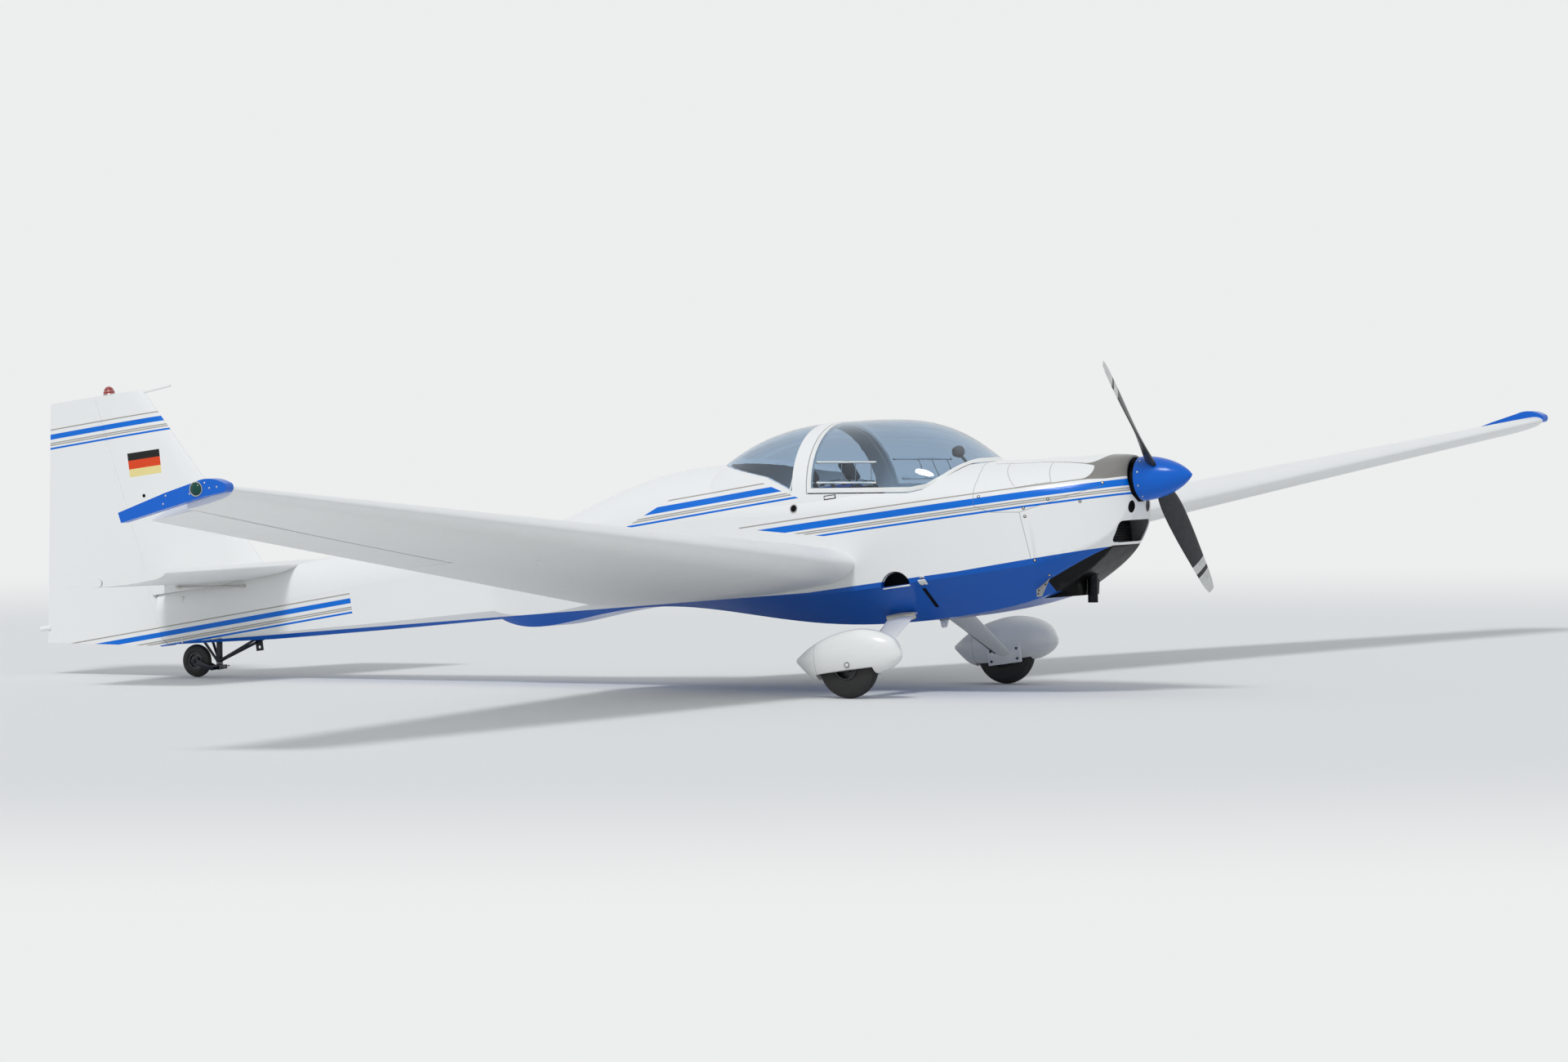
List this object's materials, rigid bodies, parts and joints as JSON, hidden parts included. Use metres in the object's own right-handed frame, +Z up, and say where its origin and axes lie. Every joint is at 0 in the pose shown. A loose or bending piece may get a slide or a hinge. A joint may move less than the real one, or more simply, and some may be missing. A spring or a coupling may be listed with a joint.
{
  "type": "motor glider",
  "caption": "Low-wing touring motor glider with side-by-side seats, forward-swept wing, faired main wheels and a steerable tail wheel, parked.",
  "frame": {"origin": "On the ground, at the middle of the bounding box.", "axes": "+X to the nose, +Y to the port wing tip, +Z up, standing as it parks."},
  "size_m": [7.5988, 15.2998, 1.8595],
  "materials": {
    "alloy": "light alloy",
    "black_moulding": "black gelcoat",
    "blade": "dark grey composite blade",
    "blue": "gloss blue gelcoat",
    "clear": "clear acrylic",
    "dark": "matt dark grey",
    "engine": "cast light alloy",
    "gloss_white": "gloss white gelcoat",
    "lamp_red": "red lens",
    "light_metal": "gloss white paint",
    "seat": "grey cloth",
    "steel": "black painted steel",
    "tyre": "black rubber",
    "white_fabric": "doped fabric over frames, gloss white",
    "white_wood": "plywood and fabric wing, gloss white"
  },
  "bodies": {
    "airframe": {"beacon": "lamp_red", "cabin_shell": "gloss_white", "control_sticks": "steel", "cowl_lower": "black_moulding", "cowl_upper": "gloss_white", "engine_block": "engine", "exhaust_pipe": "steel", "fin": "white_wood", "gear_leg_left": "light_metal", "gear_leg_right": "light_metal", "instrument_panel": "dark", "luggage_shelf": "dark", "radiator": "engine", "rear_window": "clear", "seat_box": "seat", "seat_left": "seat", "seat_right": "seat", "stabiliser": "white_wood", "tail_boom": "white_fabric", "tail_gear_mount": "steel", "wheel_spat_left": "gloss_white", "wheel_spat_right": "gloss_white", "wing_left": "white_wood", "wing_right": "white_wood", "wingtip_plate_left": "blue", "wingtip_plate_right": "blue"},
    "propeller": {"propeller_blade_1": "blade", "propeller_blade_2": "blade", "spinner": "blue"},
    "main_wheel_left": {"main_tyre_left": "tyre", "main_wheel_rim_left": "alloy"},
    "main_wheel_right": {"main_tyre_right": "tyre", "main_wheel_rim_right": "alloy"},
    "tail_fork": {"tail_fork": "steel"},
    "tail_wheel": {"tail_tyre": "tyre", "tail_wheel_rim": "alloy"},
    "rudder": {"rudder": "white_wood"},
    "elevator": {"elevator": "white_wood"},
    "aileron_left": {"aileron_left": "white_wood"},
    "aileron_right": {"aileron_right": "white_wood"},
    "airbrake_left": {"airbrake_left": "alloy"},
    "airbrake_right": {"airbrake_right": "alloy"},
    "canopy": {"canopy_frame": "gloss_white", "canopy_glass": "clear"}
  },
  "joints": [
    {"name": "propeller_spin", "type": "hinge", "parent": "airframe", "child": "propeller", "pos_m": [3.50439, 0, 1.19694], "axis": [0.9966, 0, 0.0819], "continuous": true},
    {"name": "main_wheel_spin_left", "type": "hinge", "parent": "airframe", "child": "main_wheel_left", "pos_m": [2.13742, 0.916, 0.175], "axis": [0, 1, 0], "continuous": true},
    {"name": "main_wheel_spin_right", "type": "hinge", "parent": "airframe", "child": "main_wheel_right", "pos_m": [2.13742, -0.916, 0.175], "axis": [0, 1, 0], "continuous": true},
    {"name": "tail_steer", "type": "hinge", "parent": "airframe", "child": "tail_fork", "pos_m": [-2.55955, 0, 0.14941], "axis": [0, 0, 1], "range_deg": [-30, 30]},
    {"name": "tail_wheel_spin", "type": "hinge", "parent": "tail_fork", "child": "tail_wheel", "pos_m": [-2.71373, 0, 0.096], "axis": [0, 1, 0], "continuous": true},
    {"name": "rudder_hinge", "type": "hinge", "parent": "airframe", "child": "rudder", "pos_m": [-2.91096, 0, 0.18001], "axis": [-0.3268, 0, 0.9451], "range_deg": [-30, 30]},
    {"name": "elevator_hinge", "type": "hinge", "parent": "airframe", "child": "elevator", "pos_m": [-2.44578, 0, 0.60103], "axis": [0, 1, 0], "range_deg": [-23, 27]},
    {"name": "aileron_hinge_left", "type": "hinge", "parent": "airframe", "child": "aileron_left", "pos_m": [1.37112, 3.9, 0.89066], "axis": [0.1902, 0.9764, 0.1026], "range_deg": [-20, 20]},
    {"name": "aileron_hinge_right", "type": "hinge", "parent": "airframe", "child": "aileron_right", "pos_m": [1.37112, -3.9, 0.89066], "axis": [-0.1902, 0.9764, -0.1026], "range_deg": [-20, 20]},
    {"name": "canopy_hinge", "type": "hinge", "parent": "airframe", "child": "canopy", "pos_m": [2.07399, -0.556, 1.11711], "axis": [0.9998, 0, 0.0213], "range_deg": [0, 75]},
    {"name": "airbrake_slide_left", "type": "slide", "parent": "airframe", "child": "airbrake_left", "axis": [-0.1353, -0.0732, 0.9881], "range_m": [0, 0.095]},
    {"name": "airbrake_slide_right", "type": "slide", "parent": "airframe", "child": "airbrake_right", "axis": [-0.1353, 0.0732, 0.9881], "range_m": [0, 0.095]}
  ],
  "couplings": [
    {"joint": "tail_steer", "follows": "rudder_hinge", "ratio": 1},
    {"joint": "aileron_hinge_right", "follows": "aileron_hinge_left", "ratio": -1},
    {"joint": "airbrake_slide_right", "follows": "airbrake_slide_left", "ratio": 1}
  ]
}
